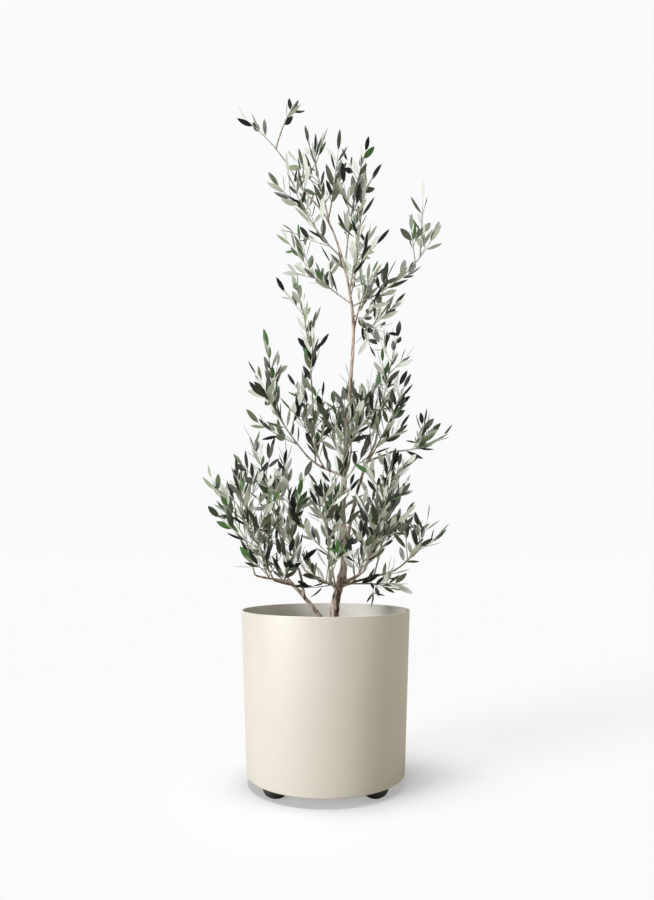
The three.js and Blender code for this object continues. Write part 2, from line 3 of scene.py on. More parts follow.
import bmesh
import bpy
import numpy as np
from mathutils import Matrix, Vector, noise


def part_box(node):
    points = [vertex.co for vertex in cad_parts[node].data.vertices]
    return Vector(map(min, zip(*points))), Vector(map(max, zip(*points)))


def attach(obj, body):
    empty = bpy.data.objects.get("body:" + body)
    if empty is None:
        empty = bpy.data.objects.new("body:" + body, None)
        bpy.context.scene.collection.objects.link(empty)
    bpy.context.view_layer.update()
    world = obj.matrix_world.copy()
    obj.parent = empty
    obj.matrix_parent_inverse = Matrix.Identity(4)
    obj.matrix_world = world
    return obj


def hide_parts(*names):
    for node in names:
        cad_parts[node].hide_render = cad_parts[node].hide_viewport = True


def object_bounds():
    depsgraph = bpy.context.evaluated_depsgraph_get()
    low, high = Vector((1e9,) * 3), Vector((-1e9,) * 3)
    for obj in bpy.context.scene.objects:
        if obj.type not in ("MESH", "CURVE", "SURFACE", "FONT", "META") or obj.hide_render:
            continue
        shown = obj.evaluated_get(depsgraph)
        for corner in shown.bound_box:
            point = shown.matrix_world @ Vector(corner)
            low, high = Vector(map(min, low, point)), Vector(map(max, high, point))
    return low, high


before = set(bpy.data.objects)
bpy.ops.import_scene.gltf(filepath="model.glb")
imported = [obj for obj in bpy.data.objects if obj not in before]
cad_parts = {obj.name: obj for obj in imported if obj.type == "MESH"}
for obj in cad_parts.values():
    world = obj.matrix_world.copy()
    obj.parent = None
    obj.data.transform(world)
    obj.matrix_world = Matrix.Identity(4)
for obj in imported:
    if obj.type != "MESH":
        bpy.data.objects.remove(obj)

cad_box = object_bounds()
bpy.ops.object.select_all(action="DESELECT")

# ------------------------------------------------------------------------------------------------
# Studio
# The plant stands on a seamless pale floor. One wide soft light stands at the left in front of it,
# another hangs overhead, and a weak one at the right keeps the planter's far side from going dark.

CAMERA_PLACE = (0.003, -1.612, 0.544)
CAMERA_LENS = 26.88
CAMERA_RISE = 0.1147

camera_data = bpy.data.cameras.new("camera")
camera_data.lens = CAMERA_LENS
camera_data.sensor_width = 36
camera_data.shift_y = CAMERA_RISE
camera = bpy.data.objects.new("camera", camera_data)
camera.location = CAMERA_PLACE
camera.rotation_euler = (math.radians(90), 0, 0)
bpy.context.scene.collection.objects.link(camera)
bpy.context.scene.camera = camera
bpy.context.scene.view_settings.view_transform = "Standard"

FLOOR_SIZE = 400
FLOOR_SHADE = (0.305, 0.3035, 0.299, 1)
FLOOR_GLOW = (1, 1, 1, 1)
FLOOR_GLOW_STRENGTH = 0.372
FLOOR_BOUNCE = (0.42, 0.395, 0.34, 1)
BACKDROP = (0.952, 0.957, 0.963, 1)
FILL_LIGHT = (0.17, 0.158, 0.138, 1)
# Each soft light: strength, spread, azimuth from the front to the right, elevation and colour.
KEY_LIGHT = (3.22, 24, -54, 15, (0.97, 0.985, 1.06))
TOP_LIGHT = (4.7, 16, -60, 86, (0.99, 0.99, 1.02))
RIM_LIGHT = (0.6, 80, 105, 6, (1.05, 0.98, 0.86))


def seen_or_felt(tree, seen, felt):
    """Joins two shaders: one is what the camera sees, and the other is what lights the plant."""
    path = tree.nodes.new("ShaderNodeLightPath")
    either = tree.nodes.new("ShaderNodeMixShader")
    tree.links.new(path.outputs["Is Camera Ray"], either.inputs[0])
    tree.links.new(felt.outputs[0], either.inputs[1])
    tree.links.new(seen.outputs[0], either.inputs[2])
    return either.outputs[0]


bpy.ops.mesh.primitive_plane_add(size=FLOOR_SIZE)
floor = bpy.context.object
floor.name = "floor"
floor_finish = bpy.data.materials.new("pale_floor")
floor_finish.use_nodes = True
floor_tree = floor_finish.node_tree
floor_shader = floor_tree.nodes["Principled BSDF"]
floor_shader.inputs["Base Color"].default_value = FLOOR_SHADE
floor_shader.inputs["Roughness"].default_value = 1
floor_shader.inputs["Specular IOR Level"].default_value = 0
floor_shader.inputs["Emission Color"].default_value = FLOOR_GLOW
floor_shader.inputs["Emission Strength"].default_value = FLOOR_GLOW_STRENGTH
bounce = floor_tree.nodes.new("ShaderNodeBsdfDiffuse")
bounce.inputs["Color"].default_value = FLOOR_BOUNCE
floor_surface = floor_tree.nodes["Material Output"].inputs["Surface"]
floor_tree.links.new(seen_or_felt(floor_tree, floor_shader, bounce), floor_surface)
floor.data.materials.append(floor_finish)


def soft_light(name, strength, spread, azimuth, elevation, colour):
    """A wide even light from far off: azimuth is counted from the front, to the right."""
    data = bpy.data.lights.new(name, "SUN")
    data.energy = strength
    data.color = colour
    data.angle = math.radians(spread)
    lamp = bpy.data.objects.new(name, data)
    lamp.rotation_euler = (math.radians(90 - elevation), 0, math.radians(azimuth))
    bpy.context.scene.collection.objects.link(lamp)


soft_light("key", *KEY_LIGHT)
soft_light("top", *TOP_LIGHT)
soft_light("rim", *RIM_LIGHT)

room = bpy.data.worlds.new("room")
room.use_nodes = True
bpy.context.scene.world = room
fill = room.node_tree.nodes["Background"]
fill.inputs["Color"].default_value = FILL_LIGHT
backdrop = room.node_tree.nodes.new("ShaderNodeBackground")
backdrop.inputs["Color"].default_value = BACKDROP
room_surface = room.node_tree.nodes["World Output"].inputs["Surface"]
room.node_tree.links.new(seen_or_felt(room.node_tree, backdrop, fill), room_surface)

# ------------------------------------------------------------------------------------------------
# Planter
# A round bucket of thin sheet with a cream powder coat, a little narrower at its foot. The bottom
# is pressed with a small rounded edge, and the rim is left as the sheet's own cut edge, broken
# smooth before it was coated.

PLANTER_SIDES = 144
PLANTER_FOOT_RADIUS = 0.1885
SHEET = 0.003
PRESSED_EDGE = 0.004
BROKEN_EDGE = 0.0011
SMOOTH_UNDER = math.radians(35)
LEVEL_FACE = 0.9  # a face is level when its normal rises or falls by more than this
NEAR_BOTTOM = 0.001


def edit(piece):
    """Opens a piece in edit mode with nothing selected."""
    bpy.ops.object.select_all(action="DESELECT")
    piece.select_set(True)
    bpy.context.view_layer.objects.active = piece
    bpy.ops.object.mode_set(mode="EDIT")
    bpy.ops.mesh.select_mode(type="FACE")
    bpy.ops.mesh.select_all(action="DESELECT")


def pick_faces(piece, wanted):
    """Selects the faces whose middle and normal are wanted, and no others."""
    bpy.ops.mesh.select_mode(type="FACE")
    shape = bmesh.from_edit_mesh(piece.data)
    for face in shape.faces:
        face.select_set(bool(wanted(face.calc_center_median(), face.normal)))
    bmesh.update_edit_mesh(piece.data)


def pick_edges(piece, wanted):
    """Selects the edges whose two ends are wanted, and no others."""
    bpy.ops.mesh.select_mode(type="EDGE")
    shape = bmesh.from_edit_mesh(piece.data)
    for edge in shape.edges:
        edge.select_set(bool(wanted(edge.verts[0].co, edge.verts[1].co)))
    bmesh.update_edit_mesh(piece.data)


def close():
    """Leaves edit mode, puts the piece at the origin and shades its curves smooth."""
    bpy.ops.object.mode_set(mode="OBJECT")
    bpy.ops.object.transform_apply(location=True, rotation=True, scale=True)
    bpy.ops.object.shade_smooth_by_angle(angle=SMOOTH_UNDER)


def finish_with(piece, kind, **settings):
    """Adds a modifier with its settings and applies it."""
    bpy.context.view_layer.objects.active = piece
    modifier = piece.modifiers.new(kind.lower(), kind)
    for setting, value in settings.items():
        setattr(modifier, setting, value)
    bpy.ops.object.modifier_apply(modifier=modifier.name)


def new_finish(name, roughness, specular=0.5):
    """A material with its plain values set on the shader itself."""
    finish = bpy.data.materials.new(name)
    finish.use_nodes = True
    shader = finish.node_tree.nodes["Principled BSDF"]
    shader.inputs["Roughness"].default_value = roughness
    shader.inputs["Specular IOR Level"].default_value = specular
    return finish


def mottle(finish, features, stretch=(1, 1, 1), detail=3):
    """A pattern on the piece's own coordinates, with so many features to the metre."""
    nodes = finish.node_tree.nodes
    links = finish.node_tree.links
    place = nodes.new("ShaderNodeTexCoord")
    mapping = nodes.new("ShaderNodeMapping")
    mapping.inputs["Scale"].default_value = stretch
    pattern = nodes.new("ShaderNodeTexNoise")
    pattern.inputs["Scale"].default_value = features
    pattern.inputs["Detail"].default_value = detail
    links.new(place.outputs["Object"], mapping.inputs["Vector"])
    links.new(mapping.outputs["Vector"], pattern.inputs["Vector"])
    return pattern.outputs[0]


def tint(finish, pattern, stops):
    """Colours a finish by a pattern: stops are (share, (red, green, blue))."""
    nodes = finish.node_tree.nodes
    links = finish.node_tree.links
    ramp = nodes.new("ShaderNodeValToRGB")
    for place, (share, colour) in enumerate(stops):
        spot = ramp.color_ramp.elements[place] if place < 2 else ramp.color_ramp.elements.new(share)
        spot.position = share
        spot.color = (*colour, 1)
    links.new(pattern, ramp.inputs["Fac"])
    links.new(ramp.outputs["Color"], nodes["Principled BSDF"].inputs["Base Color"])


def relief(finish, pattern, depth):
    """Gives a finish a fine relief, depth metres deep."""
    nodes = finish.node_tree.nodes
    links = finish.node_tree.links
    bump = nodes.new("ShaderNodeBump")
    bump.inputs["Distance"].default_value = depth
    links.new(pattern, bump.inputs["Height"])
    links.new(bump.outputs["Normal"], nodes["Principled BSDF"].inputs["Normal"])


def sheen(finish, pattern, smooth, rough):
    """Lets a pattern carry the roughness from smooth to rough."""
    nodes = finish.node_tree.nodes
    links = finish.node_tree.links
    span = nodes.new("ShaderNodeMapRange")
    span.inputs["To Min"].default_value = smooth
    span.inputs["To Max"].default_value = rough
    links.new(pattern, span.inputs["Value"])
    links.new(span.outputs["Result"], nodes["Principled BSDF"].inputs["Roughness"])


cream_coat = new_finish("cream_powder_coat", 0.5, 0.4)
tint(
    cream_coat,
    mottle(cream_coat, 14, detail=5),
    [(0.3, (0.577, 0.552, 0.475)), (0.7, (0.588, 0.562, 0.485))],
)
relief(cream_coat, mottle(cream_coat, 700, detail=2), 0.00012)
sheen(cream_coat, mottle(cream_coat, 60, detail=4), 0.44, 0.56)

planter_low, planter_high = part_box("planter")
planter_height = planter_high.z - planter_low.z
bpy.ops.mesh.primitive_cylinder_add(
    vertices=PLANTER_SIDES,
    radius=planter_high.x,
    depth=planter_height,
    location=(0, 0, (planter_low.z + planter_high.z) / 2),
)
planter = bpy.context.object
planter.name = "planter_shell"
bpy.ops.object.transform_apply(location=True)
edit(planter)
pick_faces(planter, lambda middle, normal: normal.z > LEVEL_FACE)
bpy.ops.mesh.delete(type="ONLY_FACE")
pick_faces(planter, lambda middle, normal: normal.z < -LEVEL_FACE)
narrowing = PLANTER_FOOT_RADIUS / planter_high.x
bpy.ops.transform.resize(value=(narrowing, narrowing, 1))
pick_edges(planter, lambda a, b: max(a.z, b.z) < planter_low.z + NEAR_BOTTOM)
bpy.ops.mesh.bevel(offset=PRESSED_EDGE, segments=5, affect="EDGES")
bpy.ops.object.mode_set(mode="OBJECT")
finish_with(planter, "SOLIDIFY", thickness=SHEET, offset=-1, use_even_offset=True)
finish_with(
    planter,
    "BEVEL",
    width=BROKEN_EDGE,
    segments=3,
    limit_method="ANGLE",
    angle_limit=SMOOTH_UNDER,
)
close()
planter.data.materials.append(cream_coat)
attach(planter, "root")
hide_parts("planter")

# ------------------------------------------------------------------------------------------------
# Feet
# Four moulded black rubber feet, wide at the planter and narrow at the ground. Each is glued under
# the planter's bottom, and they lift it off the floor so that water can drain.

FOOT_RADII = (0.030, 0.0248, 0.015)  # at the planter, at the knuckle and at the ground
FOOT_KNUCKLE = 0.3  # share of the foot's height
FOOT_COLLAR = 0.25  # share of the foot's height that is straight at the top
FOOT_EDGE = 0.0012
FOOT_EDGE_OVER = math.radians(20)  # corners sharper than this get that rounded edge
FOOT_SIDES = 48
FOOT_COUNT = 4

foot_rubber = new_finish("black_foot_rubber", 0.6, 0.4)
tint(
    foot_rubber,
    mottle(foot_rubber, 90, detail=4),
    [(0.35, (0.012, 0.012, 0.013)), (0.75, (0.024, 0.024, 0.025))],
)
relief(foot_rubber, mottle(foot_rubber, 1400, detail=2), 0.00015)
sheen(foot_rubber, mottle(foot_rubber, 130, detail=3), 0.45, 0.7)

foot_low, foot_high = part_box("foot_1")
foot_height = foot_high.z - foot_low.z
collar_height = foot_height * FOOT_COLLAR
bpy.ops.mesh.primitive_cylinder_add(
    vertices=FOOT_SIDES,
    radius=FOOT_RADII[0],
    depth=collar_height,
    location=(0, 0, foot_high.z - collar_height / 2),
)
foot = bpy.context.object
foot.name = "rubber_foot_1"
bpy.ops.object.transform_apply(location=True)
edit(foot)
pick_faces(foot, lambda middle, normal: normal.z < -LEVEL_FACE)
drops = (foot_height * (1 - FOOT_COLLAR - FOOT_KNUCKLE), foot_height * FOOT_KNUCKLE)
for step, drop in enumerate(drops):
    bpy.ops.mesh.extrude_region_move(TRANSFORM_OT_translate={"value": (0, 0, -drop)})
    taper = FOOT_RADII[step + 1] / FOOT_RADII[step]
    bpy.ops.transform.resize(value=(taper, taper, 1))
bpy.ops.object.mode_set(mode="OBJECT")
finish_with(
    foot,
    "BEVEL",
    width=FOOT_EDGE,
    segments=3,
    limit_method="ANGLE",
    angle_limit=FOOT_EDGE_OVER,
)
close()
foot.data.materials.append(foot_rubber)

for number in range(FOOT_COUNT, 0, -1):
    copied = foot
    if number > 1:
        copied = foot.copy()
        copied.data = foot.data.copy()
        copied.name = f"rubber_foot_{number}"
        bpy.context.scene.collection.objects.link(copied)
    low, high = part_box(f"foot_{number}")
    copied.data.transform(Matrix.Translation(((low.x + high.x) / 2, (low.y + high.y) / 2, 0)))
    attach(copied, "root")
    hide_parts(f"foot_{number}")

# ------------------------------------------------------------------------------------------------
# Potting soil
# A dark peat mix with grit and bark crumbs. It fills the planter to 50 mm below the rim. It was
# firmed level round the trunk, and it has sunk a little at the wall.

SOIL_SIDES = 96
SOIL_DEPTH = 0.04
SOIL_RING = 0.0042  # width of the rings that its top is divided into
SOIL_LEVEL_RADIUS = 0.09
SOIL_FALL = 0.006  # how much lower it lies at the wall
SOIL_WALL_GAP = 0.0008
SOIL_NEAR = 0.0001  # points this near the top count as the top
SOIL_EDGE = 0.001  # width of the ring at the wall that stays without lumps
SOIL_LUMPS = ((0.035, 0.012), (0.009, 0.006), (0.004, 0.003))  # their size and their height
CRUMB_COUNT = 520
CRUMB_SPREAD = 0.97  # share of the soil's radius
CRUMB_DROP = 0.05  # how far above the soil a crumb starts to fall
CRUMB_SIZES = (0.0016, 0.0052)
# Where a share is dealt out by chance: the smallest, and how much chance may add.
CRUMB_LENGTHS = (0.7, 0.6)
CRUMB_HEIGHTS = (0.45, 0.4)
CRUMB_DENT = 0.5
CRUMB_KINDS = 3
CRUMB_SEED = 41


def seeded(seed):
    """Numbers from 0 to 1 that are the same on every run for one seed."""
    state = seed & 0xFFFFFFFF

    def draw():
        nonlocal state
        state = (state + 0x6D2B79F5) & 0xFFFFFFFF
        t = state
        t = ((t ^ (t >> 15)) * (t | 1)) & 0xFFFFFFFF
        t ^= (t + (((t ^ (t >> 7)) * (t | 61)) & 0xFFFFFFFF)) & 0xFFFFFFFF
        return ((t ^ (t >> 14)) & 0xFFFFFFFF) / 4294967296

    return draw


def varied(span, chance):
    """A share from a span of (smallest, how much chance may add)."""
    smallest, more = span
    return smallest + more * chance


def mesh_piece(name, points, faces, finishes, finish_numbers=None):
    """One joined piece from arrays of points and faces, with a finish for each face."""
    mesh = bpy.data.meshes.new(name)
    mesh.from_pydata(points, [], faces)
    for finish in finishes:
        mesh.materials.append(finish)
    if finish_numbers is not None:
        mesh.polygons.foreach_set("material_index", finish_numbers)
    mesh.validate()
    piece = bpy.data.objects.new(name, mesh)
    bpy.context.scene.collection.objects.link(piece)
    return piece


soil_mix = new_finish("damp_soil", 0.95, 0.25)
tint(
    soil_mix,
    mottle(soil_mix, 160, detail=8),
    [(0.3, (0.016, 0.011, 0.008)), (0.72, (0.088, 0.06, 0.04)), (0.55, (0.04, 0.027, 0.018))],
)
relief(soil_mix, mottle(soil_mix, 650, detail=6), 0.0012)

soil_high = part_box("soil")[1]
rim_share = (soil_high.z - planter_low.z) / planter_height
wall_radius = PLANTER_FOOT_RADIUS + (planter_high.x - PLANTER_FOOT_RADIUS) * rim_share
soil_radius = wall_radius - SHEET - SOIL_WALL_GAP
bpy.ops.mesh.primitive_cylinder_add(
    vertices=SOIL_SIDES,
    radius=soil_radius,
    depth=SOIL_DEPTH,
    location=(0, 0, soil_high.z - SOIL_DEPTH / 2),
)
soil = bpy.context.object
soil.name = "soil_surface"
bpy.ops.object.transform_apply(location=True)
edit(soil)
pick_faces(soil, lambda middle, normal: normal.z > LEVEL_FACE)
for _ in range(int(soil_radius / SOIL_RING) - 1):
    bpy.ops.mesh.inset(thickness=SOIL_RING)
bpy.ops.mesh.merge(type="CENTER")
pick_faces(soil, lambda middle, normal: normal.z > LEVEL_FACE)
bpy.ops.mesh.subdivide(number_cuts=1)
bpy.ops.object.mode_set(mode="OBJECT")
top = soil.vertex_groups.new(name="top")
level = soil_high.z - SOIL_NEAR
free_radius = soil_radius - SOIL_EDGE
inside = [v.index for v in soil.data.vertices if v.co.z > level and v.co.xy.length < free_radius]
top.add(inside, 1, "REPLACE")
for v in soil.data.vertices:
    if v.co.z > level:
        away = (v.co.xy.length - SOIL_LEVEL_RADIUS) / (soil_radius - SOIL_LEVEL_RADIUS)
        v.co.z -= SOIL_FALL * max(0, away)
for grain, height in SOIL_LUMPS:
    lumps = bpy.data.textures.new(f"lumps_{grain}", "CLOUDS")
    lumps.noise_scale = grain
    lumps.noise_depth = 2
    finish_with(soil, "DISPLACE", texture=lumps, direction="Z", strength=height, vertex_group="top")
close()
soil.data.materials.append(soil_mix)
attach(soil, "root")
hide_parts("soil")

bpy.ops.mesh.primitive_ico_sphere_add(subdivisions=1, radius=1)
crumb = bpy.context.object
crumb_points = [v.co.copy() for v in crumb.data.vertices]
crumb_faces = [tuple(face.vertices) for face in crumb.data.polygons]
bpy.data.objects.remove(crumb)
draw = seeded(CRUMB_SEED)
points = []
faces = []
numbers = []
for _ in range(CRUMB_COUNT):
    away = soil_radius * CRUMB_SPREAD * math.sqrt(draw())
    turn = 2 * math.pi * draw()
    spot = Vector((away * math.cos(turn), away * math.sin(turn), soil_high.z + CRUMB_DROP))
    hit, ground, _, _ = soil.ray_cast(spot, Vector((0, 0, -1)))
    size = CRUMB_SIZES[0] + (CRUMB_SIZES[1] - CRUMB_SIZES[0]) * draw() ** 3
    crumb_length = size * varied(CRUMB_LENGTHS, draw())
    crumb_height = size * varied(CRUMB_HEIGHTS, draw())
    shape = Matrix.Diagonal((crumb_length, size, crumb_height))
    shape = Matrix.Rotation(2 * math.pi * draw(), 3, "Z") @ shape
    kind = int(draw() * CRUMB_KINDS)
    if not hit:
        continue
    faces += [tuple(len(points) + i for i in face) for face in crumb_faces]
    for corner in crumb_points:
        dent = CRUMB_DENT * noise.noise(corner * 2 + spot * 900)
        points.append(ground + shape @ (corner * (1 + dent)))
    numbers += [kind] * len(crumb_faces)
peat = new_finish("peat_crumb", 0.95, 0.2)
tint(peat, mottle(peat, 500, detail=4), [(0.3, (0.02, 0.014, 0.01)), (0.7, (0.06, 0.042, 0.03))])
chip = new_finish("bark_crumb", 0.9, 0.2)
tint(chip, mottle(chip, 400, detail=4), [(0.3, (0.07, 0.04, 0.024)), (0.7, (0.17, 0.105, 0.065))])
grit = new_finish("grit", 0.7, 0.4)
tint(grit, mottle(grit, 400, detail=4), [(0.3, (0.19, 0.17, 0.145)), (0.7, (0.33, 0.31, 0.28))])
crumbs = mesh_piece("soil_crumbs", points, faces, (peat, chip, grit), numbers)
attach(crumbs, "root")

# ------------------------------------------------------------------------------------------------
# Trunk, stems and boughs
# The woody frame of a young olive: a trunk with a second stem at its foot and a leader that swings
# to the left. Its bark is thin and grey-brown, with shallow furrows, scars of lost shoots and dark
# patches. Lengths are in millimetres, heights start at the soil, and azimuth 0 is right, 90 back.

MILLIMETRE = 0.001
UP = Vector((0, 0, 1))

TRUNK_PATH = [
    (12, 0, -12),
    (25, -2, 75),
    (44, 2, 160),
    (41, 8, 290),
    (48, 4, 430),
    (59, -2, 590),
    (66, 0, 735),
    (45, 4, 870),
    (4, 2, 985),
    (-61, -2, 1062),
]
TRUNK_RADII = [13, 11.5, 9.5, 7.5, 5.8, 4.6, 4, 3.2, 2.4, 1.9]
ROOT_FLARE = 5
FLARE_FALL = 45  # how fast the flare dies away along the trunk
FLARE_RIDGE = 0.35  # share by which its three ridges stand out
KNOT = 0.07  # share by which the knots swell it
KNOT_RUN = 61  # radians that the knots wind through from foot to tip

# Each bough: its parent, where it leaves it, (azimuth, reach, rise, arch) and its two radii.
BOUGHS = [
    ("stem_left", "trunk", 0.012, (186, 103, 124, -0.06), (7, 4.2)),
    ("bough_left_inner", "stem_left", 0.66, (150, 26, 80, -0.6), (4.2, 2.8)),
    ("bough_left_low", "stem_left", 0.97, (186, 82, 14, 0.3), (3.6, 2.6)),
    ("bough_left_front", "stem_left", 0.9, (236, 72, 12, 0.2), (3.6, 2.6)),
    ("bough_right_low", "trunk", 0.15, (357, 118, 34, -0.1), (5.2, 2.6)),
    ("bough_right_inner", "trunk", 0.16, (335, 62, 34, 0.3), (4.6, 2.6)),
    ("stem_right", "trunk", 0.22, (8, 76, 290, -0.35), (6, 3.2)),
    ("bough_back_low", "trunk", 0.13, (100, 108, 34, 0.1), (5, 2.6)),
    ("bough_back_right", "trunk", 0.155, (50, 100, 36, 0.2), (4.6, 2.6)),
    ("bough_front_low", "trunk", 0.14, (264, 94, 22, 0.2), (4.6, 2.6)),
    ("bough_front_right", "trunk", 0.165, (305, 92, 30, 0.2), (4.4, 2.6)),
    ("bough_back_left", "trunk", 0.15, (140, 108, 36, 0.2), (4.6, 2.6)),
    ("bough_left_high", "trunk", 0.4, (188, 88, 42, 0.35), (4.4, 2.6)),
    ("bough_right_high", "stem_right", 0.8, (350, 62, 22, 0.1), (3.2, 2.6)),
    ("bough_back_high", "trunk", 0.4, (75, 74, 66, 0.2), (4, 2.6)),
]

BARK_VOXEL = 1.15  # millimetres
RING_GAP = 1.6  # along a limb, from one ring of its skin to the next
LIMB_SIDES = 20
COLLAR = 1.6  # length of the collar at a bough's foot, in radii of the bough
# The bark's features: their length along a limb, and their height as a share of the radius.
FURROWS = (22, 0.14)
SWELLINGS = (24, 0.26)
SCARS = (9, 0.3)
BARK_SHIFT = 13.7  # how far apart two limbs lie in the bark's pattern


def spline(knots):
    """A smooth path through a few points, as a function of the share of its length."""
    p = [Vector(knot) for knot in knots]
    p = [p[0] * 2 - p[1], *p, p[-1] * 2 - p[-2]]

    def point(t):
        place = min(max(t, 0), 1) * (len(p) - 3)
        i = min(int(place), len(p) - 4)
        u = place - i
        a, b, c, d = p[i : i + 4]
        bend = (a * 2 - b * 5 + c * 4 - d) * u**2 + (b * 3 - a - c * 3 + d) * u**3
        return (b * 2 + (c - a) * u + bend) * 0.5

    return point


def growth(start, azimuth, reach, rise, arch):
    """The way a shoot grows: outwards by reach while it climbs by rise."""
    out = Vector((math.cos(math.radians(azimuth)), math.sin(math.radians(azimuth)), 0))
    middle = start + out * reach * (0.5 + arch / 2) + UP * rise * (0.5 - arch / 2)
    end = start + out * reach + UP * rise
    return lambda t: start * (1 - t) ** 2 + middle * (2 * t * (1 - t)) + end * t**2


def heading(path, t):
    """The way a path runs at a share of its length."""
    return (path(min(t + 0.001, 1)) - path(max(t - 0.001, 0))).normalized()


def path_length(path):
    """The length of a path, measured over eight straight lengths."""
    return sum((path((i + 1) / 8) - path(i / 8)).length for i in range(8))


def tube(path, radius_at, sides, steps, points, faces):
    """Adds a closed round limb to the arrays: radius_at gives its radius by share and turn."""
    first = len(points)
    normal = Vector((0.3, 1, 0.1))
    for i in range(steps + 1):
        t = i / steps
        along = heading(path, t)
        normal = (normal - along * normal.dot(along)).normalized()
        side = along.cross(normal)
        for k in range(sides):
            turn = 2 * math.pi * k / sides
            out = normal * math.cos(turn) + side * math.sin(turn)
            points.append((path(t) + out * radius_at(t, turn)) * MILLIMETRE + foot_of_plant)
    for i in range(steps):
        for k in range(sides):
            a = first + i * sides + k
            b = first + i * sides + (k + 1) % sides
            faces.append((a, b, b + sides, a + sides))
    faces.append(tuple(reversed(range(first, first + sides))))
    faces.append(tuple(range(first + steps * sides, first + (steps + 1) * sides)))


def trunk_radius(t, turn):
    """The trunk's radius without its bark, with the root flare and the knots."""
    place = t * (len(TRUNK_RADII) - 1)
    i = min(int(place), len(TRUNK_RADII) - 2)
    plain = TRUNK_RADII[i] + (TRUNK_RADII[i + 1] - TRUNK_RADII[i]) * (place - i)
    flare = ROOT_FLARE * math.exp(-t * FLARE_FALL) * (1 + FLARE_RIDGE * math.cos(3 * turn))
    return plain * (1 + KNOT * math.sin(KNOT_RUN * t + 2 * turn)) + flare


def bough_radius(start, end):
    """A bough's radius without its bark: it narrows fast at first and then slowly."""
    return lambda t, turn: start + (end - start) * math.sqrt(t)


def barked(radius_at, length, seed, collar):
    """A limb's radius with its bark: furrows along it, scars across it and a collar at its foot."""

    def radius(t, turn):
        plain = radius_at(t, turn)
        run = t * length
        spot = Vector((math.cos(turn), math.sin(turn), 0))
        furrow = 1 - abs(noise.noise(spot * 2.6 + UP * (run / FURROWS[0] + seed)))
        swell = noise.noise(spot * 0.9 + UP * (run / SWELLINGS[0] + seed * 3))
        scar = max(0, noise.noise(UP * (run / SCARS[0] + seed * 7)) - 0.25)
        foot = 1 + 0.5 * math.exp(-run / collar) if collar else 1
        skin = 0.94 + FURROWS[1] * (furrow - 0.8) + SWELLINGS[1] * swell + SCARS[1] * scar
        return plain * foot * skin

    return radius


foot_of_plant = Vector((0, 0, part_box("trunk")[0].z))
paths = {"trunk": spline(TRUNK_PATH)}
radii = {"trunk": trunk_radius}
for name, parent, at, way, (thick, thin) in BOUGHS:
    paths[name] = growth(paths[parent](at), *way)
    radii[name] = bough_radius(thick, thin)

points = []
faces = []
for number, name in enumerate(paths):
    length = path_length(paths[name])
    collar = 0 if name == "trunk" else radii[name](0, 0) * COLLAR
    skin = barked(radii[name], length, number * BARK_SHIFT, collar)
    tube(paths[name], skin, LIMB_SIDES, int(length / RING_GAP), points, faces)

bark = new_finish("olive_bark", 0.85, 0.3)
tint(
    bark,
    mottle(bark, 130, stretch=(1, 1, 0.3), detail=9),
    [
        (0.34, (0.06, 0.04, 0.028)),
        (0.66, (0.56, 0.47, 0.385)),
        (0.41, (0.2, 0.145, 0.105)),
        (0.5, (0.42, 0.335, 0.265)),
    ],
)
relief(bark, mottle(bark, 420, stretch=(1, 1, 0.4), detail=8), 0.0012)
trunk = mesh_piece("trunk_and_boughs", points, faces, (bark,))
bpy.ops.object.select_all(action="DESELECT")
trunk.select_set(True)
voxel = BARK_VOXEL * MILLIMETRE
finish_with(trunk, "REMESH", mode="VOXEL", voxel_size=voxel, use_smooth_shade=True)
finish_with(trunk, "SMOOTH", factor=0.5, iterations=1)
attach(trunk, "root")
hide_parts(*paths)

# ------------------------------------------------------------------------------------------------
# Twigs and leaves
# Each mass of foliage is a stem, or two, that grows from a limb. Side shoots leave it a golden
# turn apart, twiglets leave the shoots, and narrow leathery leaves stand on all of them in pairs,
# each pair a quarter turn from the last. The leaves are grey-green above and silver below, and some
# of them carry painted shade: near-black upper sides and dark undersides.

SHOOT_SEED = 1000  # the seed of the first mass's side shoots
FINE_SEED = 9000  # the seed of the first mass's twiglets and leaves
SEED_STEP = 77

GOLDEN_TURN = 137.5
SHOOTS_FROM = 0.12  # share of a stem below its first side shoot
SHOOTS_ALONG = 0.78  # share of a stem that has side shoots
SHOOT_WAY = (0.55, 0.8, 0.55)  # a side shoot's pull onwards, outwards and upwards
SHOOT_TAPER = (1.15, 0.5)  # a shoot's length at the stem's foot, and how much less at its tip
SHOOT_LENGTHS = (0.85, 0.3)
SHOOT_BARE = 0.2
SHOOT_BOW = 0.05
BOW_BELOW = 0.6  # share of that bow by which a shoot may curve down instead
TIP_GROWTH = 30  # the young end of a stem or shoot
STEM_SHARE = 0.88  # share of a mass's stem below that young end
TWIGLET_GAP = 50  # from one pair of twiglet places to the next, along a twig
TWIGLET_SPREAD = 44
TWIGLET_LENGTH = 38
TWIGLET_SHARE = 0.14  # how many of the twiglet places are taken
TWIGLET_BARE = 0.15
TWIGLET_BOW = 0.04
STEM_RADII = (2.2, 1.1)
SHOOT_RADII = (1.5, 0.85)
TWIGLET_RADII = (1, 0.65)
STEM_TIP_RADIUS = 0.6
TWIG_RADIUS = 1  # what a shoot or twiglet counts as where other growth keeps clear of it
# How far growth keeps from other growth, past that growth's own radius.
SHOOT_ROOM = 1.6
TWIGLET_ROOM = 2
LEAF_ROOM = 2.6

